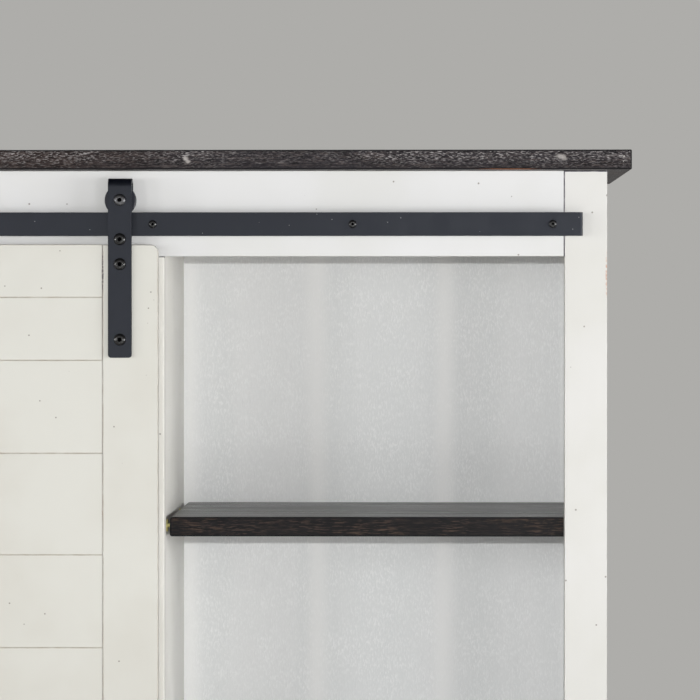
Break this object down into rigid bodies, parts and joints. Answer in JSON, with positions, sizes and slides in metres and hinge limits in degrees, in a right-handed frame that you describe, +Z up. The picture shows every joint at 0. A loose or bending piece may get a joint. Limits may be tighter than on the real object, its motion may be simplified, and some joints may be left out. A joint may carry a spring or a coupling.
{
  "type": "sideboard buffet",
  "caption": "Low farmhouse cupboard with a dark wood top, open bays with shelves, and a plank door that hangs from wheels on a flat bar track",
  "frame": {"origin": "centre of the whole object's footprint, on the floor", "axes": "+X along the front to the viewer's right, +Y from front to back, +Z up"},
  "size_m": [1.214, 0.457, 0.914],
  "materials": {
    "top_wood": "dark stain, dry-brushed grain, satin",
    "shelf_wood": "dark stain, brushed grain, satin sheen",
    "frame_paint": "satin white paint with a few specks and worn edges",
    "door_paint": "satin cream white paint",
    "back_paint": "light grey paint with a fine upright brushed texture",
    "bare_wood": "unfinished",
    "black_steel": "matte black powder coat",
    "black_bolts": "black oxide",
    "axle_steel": "dark, burnished",
    "wheel_steel": "black, satin",
    "pin_zinc": "yellow zinc",
    "screw_zinc": "zinc",
    "bush_brass": "plain",
    "buffer_rubber": "matte",
    "glide_plastic": "matte"
  },
  "bodies": {
    "cabinet": {"top_board": "top_wood", "front_stile_left": "frame_paint", "front_stile_right": "frame_paint", "centre_stile": "frame_paint", "front_top_rail": "frame_paint", "front_bottom_rail": "frame_paint", "side_front_stile_left": "frame_paint", "side_front_stile_right": "frame_paint", "side_rear_stile_left": "frame_paint", "side_rear_stile_right": "frame_paint", "side_top_rail_left": "frame_paint", "side_top_rail_right": "frame_paint", "side_bottom_rail_left": "frame_paint", "side_bottom_rail_right": "frame_paint", "side_panel_left": "frame_paint", "side_panel_right": "frame_paint", "rear_top_rail": "bare_wood", "rear_bottom_rail": "bare_wood", "back_panel": "back_paint", "floor_panel": "frame_paint", "floor_bearer": "bare_wood", "floor_cleats": "bare_wood", "partition": "frame_paint", "top_cleats": "bare_wood", "shelf_left": "shelf_wood", "shelf_right": "shelf_wood", "shelf_pins": "pin_zinc", "corner_blocks": "bare_wood", "foot_glides": "glide_plastic", "top_screws": "screw_zinc", "cleat_screws": "screw_zinc", "back_screws": "screw_zinc", "track": "black_steel", "track_spacers": "black_steel", "track_screws": "black_bolts", "guide_rail": "black_steel", "guide_screws": "black_bolts", "stop_blocks": "black_steel", "stop_buffers": "buffer_rubber"},
    "door": {"door_stile_left": "door_paint", "door_stile_right": "door_paint", "door_board_1": "door_paint", "door_board_2": "door_paint", "door_board_3": "door_paint", "door_board_4": "door_paint", "door_board_5": "door_paint", "door_board_6": "door_paint", "door_board_7": "door_paint", "hanger_left": "black_steel", "hanger_right": "black_steel", "axle_bolts": "axle_steel", "wheel_bushes": "bush_brass", "anti_jump_bolts": "black_bolts", "hanger_bolts": "black_bolts", "hanger_nuts": "screw_zinc", "flush_pull": "black_steel", "pull_screws": "black_bolts"},
    "wheel_left": {"wheel_left": "wheel_steel"},
    "wheel_right": {"wheel_right": "wheel_steel"}
  },
  "joints": [
    {"name": "door_slide", "type": "slide", "parent": "cabinet", "child": "door", "axis": [1, 0, 0], "range_m": [0, 0.539]},
    {"name": "wheel_left_spin", "type": "hinge", "parent": "door", "child": "wheel_left", "pos_m": [-0.498, -0.2065, 0.8508], "axis": [0, 1, 0], "continuous": true},
    {"name": "wheel_right_spin", "type": "hinge", "parent": "door", "child": "wheel_right", "pos_m": [-0.041, -0.2065, 0.8508], "axis": [0, 1, 0], "continuous": true}
  ],
  "couplings": [
    {"joint": "wheel_left_spin", "follows": "door_slide", "rad_per_m": 66.667},
    {"joint": "wheel_right_spin", "follows": "door_slide", "rad_per_m": 66.667}
  ]
}
